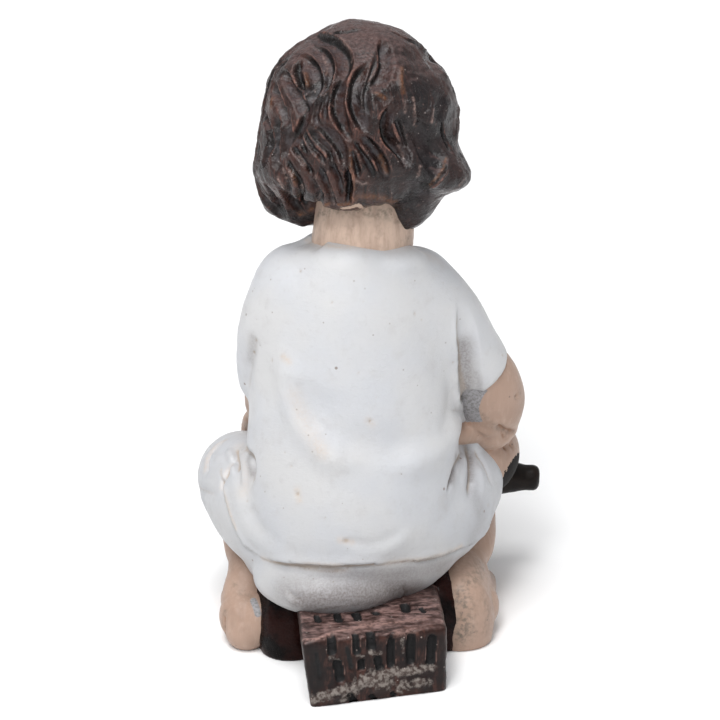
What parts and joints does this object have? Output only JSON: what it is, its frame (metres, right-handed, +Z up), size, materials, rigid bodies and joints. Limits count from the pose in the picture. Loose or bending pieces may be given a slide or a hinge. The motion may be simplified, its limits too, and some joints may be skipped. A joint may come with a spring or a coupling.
{
  "type": "holy family figurine",
  "caption": "Painted cast figurine of a child in a short-sleeved tunic, seated astride a squared timber and holding a mallet, from a holy family group.",
  "frame": {"origin": "on the plane the figurine stands on, under the middle of the seated figure", "axes": "+Z up, +Y where the figure faces, +X towards the figure's right hand"},
  "size_m": [0.0573, 0.0559, 0.0993],
  "materials": {
    "painted_cast": "satin, hand painted",
    "hair_paint": "dark brown, half gloss, with rubbed red-brown ridges",
    "tunic_paint": "pale grey-white, matt to satin, a little dusty",
    "skin_paint": "beige pink, satin, with brush marks",
    "timber_paint": "dark red-brown, half gloss, worn through to grey plaster in places",
    "tool_paint": "black-brown, half gloss"
  },
  "bodies": {
    "root": {"figurine": "painted_cast"}
  },
  "joints": []
}
